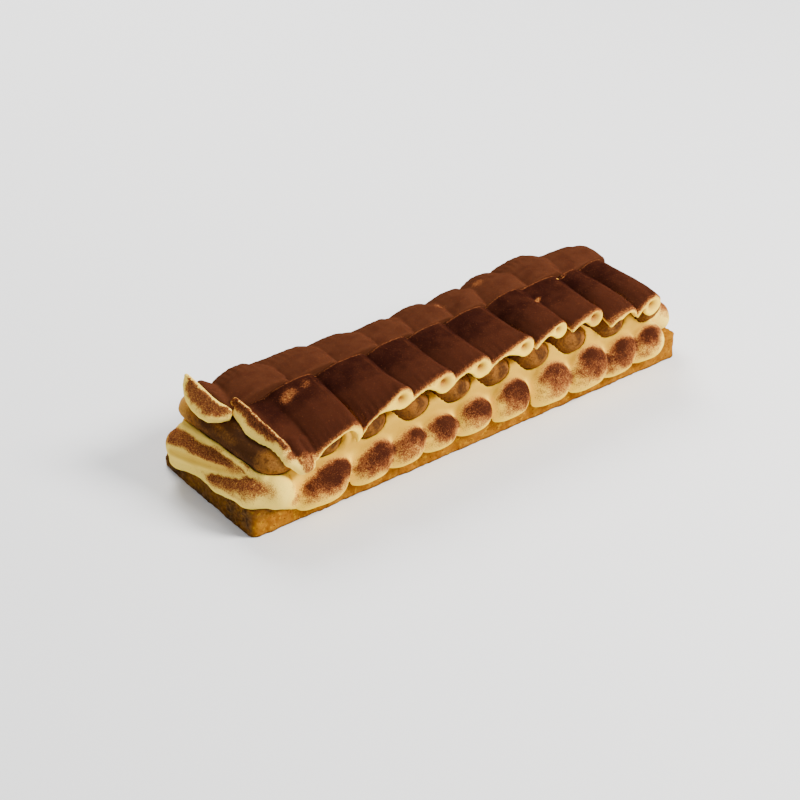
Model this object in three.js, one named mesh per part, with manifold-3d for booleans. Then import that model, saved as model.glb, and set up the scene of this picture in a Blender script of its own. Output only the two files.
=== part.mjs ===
// A tiramisu bar: a sponge base, a bed of piped mascarpone cream, a row of soaked ladyfingers laid
// across it, and two lengthwise rows of ruffled cream on top, which carry the dusting of cocoa.
// Millimetres, +Z up, +X along the bar, -Y the shown long side, -X the shown end.
// The origin is under the middle of the bar, on the surface that it stands on.

import * as THREE from "three";
import { mergeVertices } from "three/addons/utils/BufferGeometryUtils.js";
import Module from "manifold-3d";

const wasm = await Module();
wasm.setup();

// Driving dimensions
const GAP = 0.3; // left between pieces that touch
const SPONGE = { length: 339, width: 100, height: 18, corner: 5, bevel: 1.2 };
const SLUMP = { depth: 15, fromX: -148, overX: 21.5, fromY: 31, overY: 19 }; // a corner that sank
const FINGER = { width: 29, bottom: 32, top: 51, heel: 10, tip: 14, front: -50, back: 43 };
const BED = { length: 312, front: -46.5, back: 40, top: 44, bevel: 7, rounding: 26 }; // under the fingers
const ROPE = { reach: 60, spread: 1.2, lean: 0, rise: 1.06 }; // piped across, bulging out at both sides
const ROW = { underside: 51.5, creaseCrest: 61.5, creaseValley: 58, edgeSheet: 2.3 };
const LIP_RISE = { from: 0.2, to: 0.9 }; // the shares between which a lip's crest changes height
const CURL = { radius: 1.9, depth: 8, mouth: 1, lean: 2, rise: 1 }; // the small hollow inside a fold

// How finely each kind of form is divided
const FINGER_SIDES = { round: 12, along: 8 };
const ROPE_SIDES = { round: 12, along: 8 };
const STROKE_SIDES = 8;
const CURL_SIDES = 8;
const FOLD_SIDES = 16;
const SLAB_STEPS = { bevelSegments: 1, curveSegments: 2 };

// Where each ladyfinger lies along the bar. The first is longer and lies a little aslant: skew is how far
// it moves along the bar for each millimetre across it.
const FINGERS = [
  { x: -146.7, back: 47, skew: -0.056 }, { x: -112.5 }, { x: -80 }, { x: -47.5 }, { x: -15 }, { x: 16 },
  { x: 48 }, { x: 79 }, { x: 112 }, { x: 144.5 },
];

// Each rope: its place along the bar, the height of its middle and its half height, then where they
// differ from the others', its width over its height, how far its top leans and how tall its upper half is
const ROPES = [
  { x: -119, z: 18.5, r: 15, spread: 1.4, lean: 7 }, { x: -83.5, z: 19.5, r: 13.7, lean: 5 },
  { x: -58, z: 20, r: 12, lean: 4 }, { x: -32, z: 20.5, r: 12 }, { x: -5, z: 22, r: 12 },
  { x: 25, z: 21, r: 13, rise: 1.26 }, { x: 58, z: 20, r: 14.5, rise: 1.25 },
  { x: 89, z: 19, r: 14.5, rise: 1.34 }, { x: 114, z: 19.5, r: 12.5, lean: 4, rise: 1.2 },
  { x: 140, z: 21, r: 13 },
];

// The strokes that close the shown end: the middle and radius of each one's two round heads
const END_STROKES = [
  { from: [-164.3, 29.5, 22.4], fromRadius: 11.8, to: [-158.5, -31, 32], toRadius: 4 },
  { from: [-167.8, 30, 14], fromRadius: 7, to: [-166, -4, 19.5], toRadius: 3.2 },
  { from: [-167.5, 10, 15.5], fromRadius: 2.6, to: [-164.5, -11, 17.5], toRadius: 7 },
  { from: [-164.5, -11, 17.5], fromRadius: 7, to: [-159.5, -38, 22.5], toRadius: 10.5 },
  { from: [-159.5, -38, 22.5], fromRadius: 10.5, to: [-149, -46, 25.5], toRadius: 11 },
  { from: [-160, 33, 31.2], fromRadius: 4.2, to: [-157.6, 5, 35.6], toRadius: 1.9 },
  { from: [-157.6, 5, 35.6], fromRadius: 1.9, to: [-157, -34, 38], toRadius: 1.4 },
  { from: [-143, 36, 20], fromRadius: 9, to: [-143, 24, 24], toRadius: 9 },
];

// Each fold: its place at the crease, then its place, height and reach at the outer edge, then the place
// and height of the low point before it, and where they differ from the others', the depth of its roll
// and its crest and valley at the crease
const FRONT_FOLDS = [
  { crease: -94.5, edge: -100, crest: 55.8, reach: 55, low: [-125, 43] },
  { crease: -56.5, edge: -60, crest: 63.5, reach: 51, low: [-90.5, 42] },
  { crease: -24.5, edge: -27, crest: 62, reach: 50, low: [-54, 51.5] },
  { crease: 4.5, edge: 1.5, crest: 62, reach: 50, low: [-21, 52] },
  { crease: 38, edge: 36.5, crest: 63, reach: 50, low: [6, 50.5], roll: 13.5 },
  { crease: 68, edge: 64.5, crest: 64, reach: 50, low: [46, 53], roll: 11.5, peak: 64 },
  { crease: 98.5, edge: 93, crest: 63.5, reach: 51, low: [75, 55], roll: 12, peak: 62.5, valley: 62 },
  { crease: 117, edge: 120, crest: 56, reach: 54, low: [105, 49], roll: 13 },
  { crease: 138.5, edge: 141, crest: 58, reach: 53, low: [129, 47] },
];
const BACK_REACH = 46;
const BACK_FOLDS = [
  { crease: -112, edge: -108, crest: 52, low: [-134, 45], peak: 63 },
  { crease: -76, edge: -72.5, crest: 48.5, low: [-105, 49.5], peak: 62.5 },
  { crease: -45, edge: -39.5, crest: 46.2, low: [-69.5, 45.5], peak: 62.2 },
  { crease: -17, edge: -5, crest: 43.1, low: [-36.5, 43], peak: 61.1 },
  { crease: 15, edge: 23, crest: 43.4, low: [-2, 40.5], peak: 61.4 },
  { crease: 40, edge: 54, crest: 45.4, low: [26, 40.5], peak: 62.4 },
  { crease: 75, edge: 82, crest: 50, low: [57, 40.5], peak: 63 },
  { crease: 104, edge: 116, crest: 52.6, low: [85, 48.5], peak: 63.6 },
  { crease: 142, edge: 148, crest: 44.6, low: [119, 46], peak: 61.6 },
].map((fold) => ({ ...fold, reach: BACK_REACH }));

// The two rows: which way each one faces, its folds, the shares of its width between which its underside
// bends down, and the lip where it starts
const FRONT_ROW = {
  outward: -1, folds: FRONT_FOLDS, roll: 15, droop: 4, hangs: [0.62, 1],
  start: { crease: -124, edge: -130, valley: 44 },
  lip: { crease: -144, edge: -142, creaseCrest: 61, edgeCrest: 59.5, depth: 9, reach: 54 },
};
const BACK_ROW = {
  outward: 1, folds: BACK_FOLDS, roll: 8, droop: 3, hangs: [0.3, 0.8],
  start: { crease: -145, edge: -137, valley: 44 },
  lip: { crease: -157, edge: -155, creaseCrest: 58.5, edgeCrest: 66, depth: 10, reach: 41 },
};

const SAME_POINT = 1e-4; // vertices nearer than this are one
const ON_RING = 1e-6; // how far off a sphere's middle ring still counts as on it

const mix = THREE.MathUtils.lerp;
const ease = THREE.MathUtils.smoothstep;
const side = (value) => Math.sign(Math.round(value / ON_RING)); // -1, 0 or 1

// Moves every vertex of a geometry to where place puts it.
function warp(geometry, place) {
  const points = geometry.getAttribute("position");
  const point = new THREE.Vector3();
  for (let i = 0; i < points.count; i++) {
    place(point.fromBufferAttribute(points, i));
    points.setXYZ(i, point.x, point.y, point.z);
  }
  return geometry;
}

// A closed geometry as a solid that can be joined and cut.
function solidOf(geometry) {
  geometry.deleteAttribute("normal");
  geometry.deleteAttribute("uv");
  const merged = mergeVertices(geometry, SAME_POINT);
  const vertProperties = merged.getAttribute("position").array;
  const triVerts = Uint32Array.from(merged.index.array);
  return new wasm.Manifold(new wasm.Mesh({ numProp: 3, vertProperties, triVerts }));
}

function geometryOf(solid) {
  const mesh = solid.getMesh();
  const geometry = new THREE.BufferGeometry();
  geometry.setAttribute("position", new THREE.BufferAttribute(Float32Array.from(mesh.vertProperties), 3));
  geometry.setIndex(new THREE.BufferAttribute(Uint32Array.from(mesh.triVerts), 1));
  geometry.computeVertexNormals();
  return geometry;
}

const joined = (solids) => solids.reduce((whole, solid) => whole.add(solid));
const without = (solid, cutters) => cutters.reduce((rest, cutter) => rest.subtract(cutter), solid);

// A flat slab with rounded edges, from one height to another. Its corners are rounded by one radius at
// the near front and far back, and by the other radius at the far front and near back.
function slab(length, width, bottom, top, [r, q], bevel) {
  const x = length / 2 - bevel;
  const y = width / 2 - bevel;
  const outline = new THREE.Shape();
  outline.moveTo(-x + r, -y);
  outline.lineTo(x - q, -y).absarc(x - q, -y + q, q, -Math.PI / 2, 0);
  outline.lineTo(x, y - r).absarc(x - r, y - r, r, 0, Math.PI / 2);
  outline.lineTo(-x + q, y).absarc(-x + q, y - q, q, Math.PI / 2, Math.PI);
  outline.lineTo(-x, -y + r).absarc(-x + r, -y + r, r, Math.PI, Math.PI * 1.5);
  const depth = top - bottom - 2 * bevel;
  const options = { depth, bevelSize: bevel, bevelThickness: bevel, ...SLAB_STEPS };
  return new THREE.ExtrudeGeometry(outline, options).translate(0, 0, bottom + bevel);
}

// A piped stroke: a round head at each end, with the cream drawn straight between them.
function stroke(from, fromRadius, to, toRadius, sides) {
  const span = new THREE.Vector3().subVectors(to, from);
  return warp(new THREE.SphereGeometry(1, sides, sides - 2), (n) => {
    const atEnd = n.dot(span) + toRadius - fromRadius > 0;
    const radius = atEnd ? toRadius : fromRadius;
    n.multiplyScalar(radius).add(atEnd ? to : from);
  });
}

// The sponge slab. Its top slopes down to the sunken corner behind the shown end.
function spongeSolid(grow = 0) {
  const { length, width, height, corner, bevel } = SPONGE;
  const whole = slab(length + 2 * grow, width + 2 * grow, -grow, height + grow, [corner, corner], bevel);
  const below = new THREE.Vector3(SLUMP.depth / SLUMP.overX, -SLUMP.depth / SLUMP.overY, -1);
  const start = new THREE.Vector3(SLUMP.fromX, SLUMP.fromY + SLUMP.overY, height);
  const offset = below.dot(start) / below.length() - grow;
  return solidOf(whole).trimByPlane(below.toArray(), offset);
}

// A ladyfinger lies across the bar: rounded heel, domed top and round tips.
function fingerGeometry({ x, back = FINGER.back, skew = 0 }, grow = 0) {
  const straight = (back - FINGER.front) / 2 - FINGER.tip;
  const centre = (back + FINGER.front) / 2;
  const middle = FINGER.bottom + FINGER.heel;
  return warp(new THREE.SphereGeometry(1, FINGER_SIDES.round, FINGER_SIDES.along), (n) => {
    const rise = n.z > 0 ? FINGER.top - middle : FINGER.heel;
    const across = side(n.y) * straight + n.y * (FINGER.tip + grow);
    const along = x + skew * across + n.x * (FINGER.width / 2 + grow);
    n.set(along, centre + across, middle + n.z * (rise + grow));
  });
}

// A rope of cream runs across the bar and hangs over both long sides of the sponge. Its lower half is
// squarer than its upper half.
function ropeSolid(shape, grow) {
  const { x, z, r, spread, lean, rise, reach } = { ...ROPE, ...shape };
  return solidOf(warp(new THREE.SphereGeometry(1, ROPE_SIDES.round, ROPE_SIDES.along), (n) => {
    const up = Math.max(n.z, 0) * rise;
    const round = Math.hypot(n.x, n.z);
    const square = Math.cbrt(Math.abs(n.x) ** 3 + Math.abs(n.z) ** 3);
    const swell = n.z < 0 ? round / square : 1;
    const y = side(n.y) * (reach - r) + n.y * (r + grow);
    const height = n.z < 0 ? n.z * swell * (r + grow) : up * r + n.z * grow;
    n.set(x + lean * up + n.x * swell * (r * spread + grow), y, z + height);
  }));
}

// The strokes that close one end of the bed. The far end has the shown end's, turned half round.
function endStrokes(turn, grow) {
  const at = ([x, y, z]) => new THREE.Vector3(turn * x, turn * y, z);
  return END_STROKES.map(({ from, fromRadius, to, toRadius }) => (
    solidOf(stroke(at(from), fromRadius + grow, at(to), toRadius + grow, STROKE_SIDES))
  ));
}

function creamBed(grow = 0) {
  const { length, front, back, top, bevel, rounding } = BED;
  const corners = [bevel, rounding - bevel];
  const width = back - front;
  const body = slab(length + 2 * grow, width + 2 * grow, SPONGE.height - grow, top + grow, corners, bevel);
  body.translate(0, (front + back) / 2, 0);
  const ropes = ROPES.map((rope) => ropeSolid(rope, grow));
  return joined([solidOf(body), ...ropes, ...endStrokes(1, grow), ...endStrokes(-1, grow)]);
}

// One fold of a ruffle, seen from the side, is a sheet that rises from its tail and turns over in a
// round nose. Its section is the outline round a small circle at the tail and a large one at the nose.
const STATIONS = [0, 0.35, 0.68, 0.86, 0.96, 1]; // from the crease to the outer edge
const RIM = [1, 1, 1, 1, 0.9, 0.62]; // the edge is rounded off

function foldGeometry(outward, reach, tailAt, noseAt) {
  const steps = STATIONS.length - 1;
  return warp(new THREE.CylinderGeometry(1, 1, 1, FOLD_SIDES, steps), (n) => {
    const station = Math.round((0.5 + outward * n.y) * steps);
    const share = STATIONS[station];
    const tail = tailAt(share);
    const nose = noseAt(share);
    const lead = n.x * (nose.x - tail.x) + n.z * (nose.z - tail.z) + nose.r - tail.r;
    const end = lead > 0 ? nose : tail;
    const y = outward * mix(GAP / 2, reach, share);
    const capCentre = Math.hypot(n.x, n.z) < 0.5;
    if (capCentre) n.set((tail.x + nose.x) / 2, y, (tail.z + nose.z) / 2);
    else n.set(end.x + n.x * end.r * RIM[station], y, end.z + n.z * end.r * RIM[station]);
  });
}

// The circle that fits between an underside and a crest.
const between = (x, bottom, crest) => ({ x, z: (bottom + crest) / 2, r: (crest - bottom) / 2 });

// A row is a chain of folds. Each sheet comes out from under the nose of the fold before it.
function rowFolds(row) {
  return row.folds.map((fold, i) => {
    const before = i ? row.folds[i - 1] : row.start;
    const { roll = row.roll, peak = ROW.creaseCrest, valley = ROW.creaseValley } = fold;
    const [lowX, lowZ] = fold.low;
    const hang = (s) => ease(s, ...row.hangs);
    const noseAt = (s) => {
      const crest = mix(peak, fold.crest, s ** row.droop);
      return between(mix(fold.crease, fold.edge, s), mix(ROW.underside, fold.crest - roll, hang(s)), crest);
    };
    const tailAt = (s) => {
      const top = mix(valley, lowZ, s ** row.droop);
      const bottom = mix(ROW.underside, lowZ - 2 * ROW.edgeSheet, hang(s));
      return between(mix(before.crease, lowX, s), bottom, top);
    };
    const geometry = foldGeometry(row.outward, fold.reach, tailAt, noseAt);
    return { geometry, nose: noseAt(1), reach: fold.reach };
  });
}

// The lip where a row starts: a fold that faces the shown end.
function lipGeometry(row) {
  const { lip, start } = row;
  const noseAt = (s) => {
    const crest = mix(lip.creaseCrest, lip.edgeCrest, ease(s, LIP_RISE.from, LIP_RISE.to));
    return between(mix(lip.crease, lip.edge, s), crest - lip.depth, crest);
  };
  const tailAt = (s) => {
    const top = mix(ROW.creaseValley, start.valley, s ** row.droop);
    return between(mix(start.crease, start.edge, s), top - 2 * ROW.edgeSheet, top);
  };
  return foldGeometry(row.outward, lip.reach, tailAt, noseAt);
}

// A hollow that runs in from the outer edge, at the heart of a fold.
function curlSolid({ nose, reach }, outward) {
  const mouth = new THREE.Vector3(nose.x, outward * (reach + CURL.mouth), nose.z);
  const inner = new THREE.Vector3(nose.x - CURL.lean, outward * (reach - CURL.depth), nose.z + CURL.rise);
  return solidOf(stroke(mouth, CURL.radius, inner, CURL.radius / 2, CURL_SIDES));
}

function rowSolid(row, below) {
  const folds = rowFolds(row);
  const sheets = [...folds.map((fold) => fold.geometry), lipGeometry(row)];
  const curls = folds.slice(1, -1).map((fold) => curlSolid(fold, row.outward));
  return without(joined(sheets.map(solidOf)), [...curls, ...below]);
}

// Assembly
const material = (color, roughness) => new THREE.MeshStandardMaterial({ color, roughness, metalness: 0 });
const SPONGE_GOLD = material(0xc8881f, 0.9);
const CREAM_YELLOW = material(0xe9dca6, 0.5);
const BISCUIT_BROWN = material(0x96682c, 0.75);
const COCOA_BROWN = material(0x54291a, 0.95);

const bar = new THREE.Group();
function addPiece(name, geometry, finish) {
  const piece = new THREE.Mesh(geometry, finish);
  piece.name = name;
  bar.add(piece);
}

const fingerCutters = FINGERS.map((finger) => solidOf(fingerGeometry(finger, GAP)));
const bed = without(creamBed(), [spongeSolid(GAP), ...fingerCutters]);
const rowSupport = [...fingerCutters, creamBed(GAP)];

addPiece("sponge_base", geometryOf(spongeSolid()), SPONGE_GOLD);
addPiece("cream_filling", geometryOf(bed), CREAM_YELLOW);
FINGERS.forEach((finger, i) => {
  addPiece(`ladyfinger_${String(i + 1).padStart(2, "0")}`, fingerGeometry(finger), BISCUIT_BROWN);
});
addPiece("cream_ruffle_front", geometryOf(rowSolid(FRONT_ROW, rowSupport)), COCOA_BROWN);
addPiece("cream_ruffle_back", geometryOf(rowSolid(BACK_ROW, rowSupport)), COCOA_BROWN);

// The bar is centred over the origin.
const extent = new THREE.Box3().setFromObject(bar);
const centre = extent.getCenter(new THREE.Vector3());
bar.position.set(-centre.x, -centre.y, -extent.min.z);

export default bar;
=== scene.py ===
"""The looks of a tiramisu bar: sponge, piped cream, soaked ladyfingers and two cocoa-dusted ruffle rows.

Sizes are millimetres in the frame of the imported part, and become metres when a mesh is made.
Each cream form is a distance field, negative inside, which is meshed on a grid.
Many pairs of values are limits between which something fades in or out.
"""
import itertools
import math

import bpy
import numpy as np
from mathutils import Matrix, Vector


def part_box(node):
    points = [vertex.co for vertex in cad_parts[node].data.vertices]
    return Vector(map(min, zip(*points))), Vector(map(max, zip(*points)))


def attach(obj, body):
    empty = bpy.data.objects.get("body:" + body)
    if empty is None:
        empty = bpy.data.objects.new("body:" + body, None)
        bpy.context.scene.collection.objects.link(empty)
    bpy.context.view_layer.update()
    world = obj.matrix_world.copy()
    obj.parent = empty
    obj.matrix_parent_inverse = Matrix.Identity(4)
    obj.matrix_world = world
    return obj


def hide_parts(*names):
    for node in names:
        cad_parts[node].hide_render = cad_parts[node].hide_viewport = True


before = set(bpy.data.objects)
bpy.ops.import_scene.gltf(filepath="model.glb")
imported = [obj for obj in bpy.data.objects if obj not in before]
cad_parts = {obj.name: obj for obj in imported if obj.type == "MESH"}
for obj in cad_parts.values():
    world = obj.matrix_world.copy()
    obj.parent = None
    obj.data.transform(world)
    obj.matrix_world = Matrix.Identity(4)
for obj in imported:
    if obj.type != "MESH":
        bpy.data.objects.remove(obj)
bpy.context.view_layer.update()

MM = 0.001
FAR = 99.0
GAP = 0.3

# The camera, at the photograph's viewing angle
CAMERA = {
    "azimuth": -37.109, "elevation": 33.061, "distance": 1312.5, "target": (-23.54, 0.0, 14.83),
    "lens": 93.49, "sensor": 36,
}

# How softly forms run into each other
BLENDS = {
    "edge": 0.8, "pores": 0.5,
    "ropes": 1.3, "body": 3, "strokes": 1.2, "ends": 1.6, "crease": 1.4, "craters": 0.8,
    "section": 2, "fold_ends": 1.4, "folds": 1.4, "start_ends": 3, "start": 1.5, "lip_ends": 1, "lip": 1,
    "dish": 1, "pit": 1.6, "arch_depth": 3, "arch": 1, "tongue": 1.6, "nick": 0.6,
}

# Sponge. Its hidden corner at the shown end has slumped. Its grid is coarser some way in from its sides.
# Lumps, here and below, have a size, a height and a seed
SPONGE = {"corner": 6, "lumps": ((7, 0.4, 31), (2.4, 0.25, 32))}
SPONGE_GRID = {"margin": 2, "fine": 0.8, "coarser_past": ((8, 1.1), (4, 1.2))}
SLUMP = {"depth": 15, "from": (-148, 31), "over": (21.5, 19)}
PORES = {
    "count": 2600, "seed": 21, "at_ends": 0.4, "end_radius": (0.5, 1.7), "side_radius": (0.35, 0.85),
    "lowest": 2, "room": 2,
}
# Soaked ends and patches near the corner of the sponge, and painted contact shade in a line along its bottom
SPONGE_SOAK_AND_SHADE = {
    "patch_size": 9, "patch_seed": 41, "ends": (3.5, 0.4), "end_soak": 0.8, "end_patches": 0.25,
    "corner_along": (105, 160), "corner_up": (9, 16), "corner_soak": 0.6, "corner_patches": 0.2,
    "bottom": (0.6, 2.2), "bottom_soak": 0.85,
}

# Ladyfingers. The first lies a little aslant, and its flank is soaked between places across the bar, with
# painted shade of the lip above. The others are soaked on their left side, and in a smudge over their tips;
# both marks also carry painted shade, on the left side and under the row at the top
FINGER_TIP = 14
FINGER_HEEL = 10
FINGER_LUMPS = ((6, 0.35), (2.2, 0.22), (1.1, 0.1))
FINGER_SEEDS = {"first": 100, "step": 10}
FIRST_SKEW = -0.056
FLANK = {
    "begins": (-45, -32), "ends": (12, 32), "weaker": (-24, -6), "weaker_by": 0.15,
    "dry_far": (20, 38), "dry_near": (40, 49), "dry_near_by": 0.32, "soak": 0.92,
    "streaks": ((3.5, 0.4, 81),), "stretch": (1, 0.3, 1),
}
TIPS = {
    "left": (-6, 10), "left_soak": 0.5, "smudge_right": 3, "smudge_height": 45, "smudge": (2, 7),
    "smudge_soak": 0.75, "ragged": ((4, 2, 82),),
}

# Piped cream: ropes across the bar, then the strokes that close the shown end.
# A grid has, for each direction, a place, a spacing, a place and so on
BED = {"length": 312, "front": -46.5, "back": 40, "bottom": 18, "top": 44, "bevel": 7, "rounding": 26}
BED_GRID = (
    (-181, 0.85, -140, 1.15, 140, 0.85, 181), (-63, 0.95, -36, 2.6, 36, 0.95, 63), (1, 0.95, 47),
)
BED_LUMPS = ((9, 0.35, 11), (3.5, 0.12, 12))
# Where the bed's cream turns pale towards both ends: painted shade, a paler, greyer copy of the cream for
# the shaded ends
BED_PALE = (138, 150)

# The ropes. The lower part of each is moved along the bar, and flattened
ROPE = {"reach": 60, "spread": 1.2, "lean": 0, "rise": 1.06, "foot": 3, "flatten": 1.06}


def cream_rope(x, z, r, dust, **own):
    """A rope: place, height of its middle, half height, and how much cocoa it holds.

    Some have a width of their own, a top that leans, or a taller one.
    """
    return {**ROPE, "x": x, "z": z, "r": r, "dust": dust, **own}


ROPES = [
    cream_rope(-119, 18.5, 15, dust=1, spread=1.4, lean=7), cream_rope(-83.5, 19.5, 13.7, dust=0.9, lean=5),
    cream_rope(-58, 20, 12, dust=0.8, lean=4), cream_rope(-32, 20.5, 12, dust=0.9),
    cream_rope(-5, 22, 12, dust=0.88), cream_rope(25, 21, 13, dust=0.92, rise=1.26),
    cream_rope(58, 20, 14.5, dust=0.86, rise=1.25), cream_rope(89, 19, 14.5, dust=0.92, rise=1.34),
    cream_rope(114, 19.5, 12.5, dust=0.95, lean=4, rise=1.2), cream_rope(140, 21, 13, dust=0.9),
]
# Strokes, as chains of points with radii. The far end has the same ones, turned half round
END_STROKES = [
    [((-164.3, 29.5, 22.4), 11.8), ((-158.5, -31, 32), 4)],
    [((-167.8, 30, 14), 7), ((-166, -4, 19.5), 3.2)],
    [
        ((-167.5, 10, 15.5), 2.6), ((-164.5, -11, 17.5), 7), ((-159.5, -38, 22.5), 10.5),
        ((-149, -46, 25.5), 11),
    ],
    [((-162.3, 33, 31.2), 4.6), ((-160, 5, 35.4), 2.4), ((-158.6, -34, 38), 1.7)],
    [((-143, 36, 20), 9), ((-143, 24, 24), 9)],
    [((-155.5, 33, 32), 7), ((-152, 8, 34), 6)],
    [((-149, -46, 22), 9), ((-140, -46, 15), 6.5)],
    [((-158.2, -32, 36), 2.8), ((-154.5, -43, 34), 3)],
]
CRATERS = [(-68.9, -60, 22.3), (18, -60, 28.2)]
CRATER_RADIUS = 2
# A crease along the upper stroke of each end
CREASE = [
    ((-176.2, 27, 23.4), 0.8), ((-172, 9.5, 25), 2.2), ((-167.2, -12.7, 29.4), 1.6),
    ((-163.6, -27, 33.6), 0.4),
]

# A lip along a row's start: at each place across the bar, its ridge and its lower edge as circles x, z, r.
# The rim is the width along the ridge that is more or less bare. The veil is how much cocoa its face holds,
# and it fades between two shares of the way down, and beyond a place across the bar.
# Behind it the row begins, at a place and with a top
FRONT_LIP = {
    "rim": 0.8, "bare": 0.6, "veil": 0.74, "veiled": (0.2, 0.8), "bare_from": 20, "behind": (-144, 57.4),
    "stations": [
        (7, (-142.4, 58.4, 1.3), (-143.2, 57.2, 1.5)), (4, (-142.4, 59, 1.9), (-145, 54.6, 2.4)),
        (-8, (-142.6, 59, 1.9), (-146, 52.4, 2.8)), (-20, (-143.8, 58.8, 1.9), (-149, 51.8, 2.9)),
        (-32, (-144.2, 58.4, 2), (-147.6, 51.6, 2.9)), (-41, (-143.6, 56.6, 2.2), (-145, 50.6, 2.8)),
        (-49, (-142, 52, 2.6), (-142.6, 47, 2.8)),
    ],
}
BACK_LIP = {
    "rim": 1.9, "bare": 0.85, "veil": 0.6, "veiled": (0.5, 0.95), "bare_from": 34, "behind": (-147.5, 58.8),
    "stations": [
        (39.5, (-155.2, 64.6, 1.2), (-156, 59, 1.8)), (36, (-154.8, 63.6, 1.5), (-157, 55, 2.4)),
        (31, (-154, 61.6, 1.7), (-158.2, 53, 2.9)), (22, (-154.2, 60.6, 1.8), (-160, 52.4, 3.1)),
        (14, (-154.4, 60.3, 1.8), (-160.4, 52.2, 3.2)), (6, (-154, 59.6, 1.8), (-159.4, 52.2, 3.2)),
        (1, (-151.5, 58.4, 1.7), (-154.5, 52.6, 2.6)), (-2, (-149.5, 57, 1.3), (-150.5, 53, 1.8)),
    ],
}
LIP_STEP = 2

# A ruffle row: heights at the crease, and a fold's section there from its low start to its roll
CREASE_CREST = 61.5
CREASE_VALLEY = 57.8
START_VALLEY = 57.4
START_DROP = 1
UNDERSIDE = 51.5
SHEET = 2.4
TAIL_START = 6
ALONG = (0, 0.1, 0.22, 0.36, 0.5, 0.66, 0.82, 1)
INSIDE = (0, 0.28, 0.53, 0.74, 0.88, 0.98, 1.02, 0.98)
ROLL_FROM = 4
ROW_BEGINS = 0.1
FOLD_ROOM = (12, 14)
# Where a row's cream turns pale towards the shown end, as on the bed's ends: painted shade
ROW_PALE = (122, 140)


def ruffle_fold(crease, edge, crest, reach, low, pit, **own):
    """A fold: place at the crease, place, height and reach at the edge, low point before it, and pit.

    Some have a roll of their own height, or their own heights at the crease.
    """
    return {"crease": crease, "edge": edge, "crest": crest, "reach": reach, "low": low, "pit": pit, **own}


# Each row: its way outwards, how late it droops, its rolls' height, how far its valleys sag midway, how dark
# its cocoa is and how much darker it gets at the tiles' starts (thicker cocoa and painted shade), how bare
# its crest is (a painted highlight), where its start ends, between which shares of its width it thins to a
# hanging sheet, and a fold's section at the edge
FRONT_ROW = {
    "outward": -1, "droop": 4, "nose": 15, "sag": 1.8, "tone": 0.4, "dark": 0.45, "crest": 0.28,
    "start_reach": 44, "hangs": (0.62, 1), "profile": (0, 0.2, 0.36, 0.48, 0.58, 0.68, 0.8, 1),
    "lip": FRONT_LIP, "start": {"crease": -124, "edge": -130},
    "grid": ((-168, 0.85, 160), (-59, 0.85, 9), (32, 0.8, 69)), "lumps": ((12, 0.45, 51), (4, 0.12, 52)),
    "folds": [
        ruffle_fold(-94.5, -100, 55.8, 55, low=(-125, 43), pit=0),
        ruffle_fold(-56.5, -60, 63.5, 51, low=(-90.5, 42), pit=1.7),
        ruffle_fold(-24.5, -27, 62, 50, low=(-54, 51.5), pit=2.1),
        ruffle_fold(4.5, 1.5, 62, 50, low=(-21, 52), pit=1.7),
        ruffle_fold(38, 36.5, 63, 50, low=(6, 50.5), pit=1.5, nose=13.5),
        ruffle_fold(68, 64.5, 64, 50, low=(46, 53), pit=1.1, nose=11.5, peak=64),
        ruffle_fold(98.5, 93, 63.5, 51, low=(75, 55), pit=2.2, nose=12, peak=62.5, valley=62),
        ruffle_fold(117, 120, 56, 54, low=(105, 49), pit=0, nose=13),
        ruffle_fold(138.5, 141, 58, 53, low=(129, 47), pit=1.6),
    ],
}
# The far row's folds: place at the crease, place and height at the edge, the height before it, and that
# at the crease. Each one's low point lies a little past the fold before it
BACK_START = {"crease": -145, "edge": -137}
BACK_PLACES = [
    (-112, -108, 52, 45, 63), (-76, -72.5, 48.5, 49.5, 62.5), (-45, -39.5, 46.2, 45.5, 62.2),
    (-17, -5, 43.1, 43, 61.1), (15, 23, 45.2, 40.5, 61.4), (40, 54, 45.4, 40.5, 62.4),
    (75, 82, 50, 40.5, 63), (104, 116, 52.6, 48.5, 63.6), (142, 148, 44.6, 46, 61.6),
]
BACK_BEFORE = [BACK_START["edge"], *(place[1] for place in BACK_PLACES)]
BACK_LOW_PAST = 3
BACK_REACH = 46
BACK_PIT = 1.2
BACK_ROW = {
    "outward": 1, "droop": 3, "nose": 8, "sag": 0, "tone": 0, "dark": 0.15, "crest": 0,
    "start_reach": 38, "hangs": (0.3, 0.8), "profile": (0, 0.3, 0.58, 0.8, 0.93, 1, 0.97, 0.6),
    "lip": BACK_LIP, "start": BACK_START,
    "grid": ((-168, 0.85, 160), (-4, 0.85, 54), (32, 0.8, 69)), "lumps": ((12, 0.45, 61), (4, 0.12, 62)),
    "folds": [
        ruffle_fold(crease, edge, crest, BACK_REACH, (before + BACK_LOW_PAST, low), BACK_PIT, peak=peak)
        for (crease, edge, crest, low, peak), before in zip(BACK_PLACES, BACK_BEFORE)
    ],
}

# At a fold's edge, a wide dish and in it a pit: where the pit's mouth and inner end lie, and how it narrows
DISH = {"radius": 7, "beyond": 5.7}
PIT = {"mouth_out": 0.5, "back": 1.5, "deep": 3, "up": 0.5, "narrows": 0.8}

# Open arches under two folds of the near row: two circles x, z, r, and how deep they go
ARCHES = [((-103, 44.8, 7), (-115.5, 40.4, 6.5), -41), ((120, 46.5, 6), (112, 44, 4), -43)]

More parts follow.
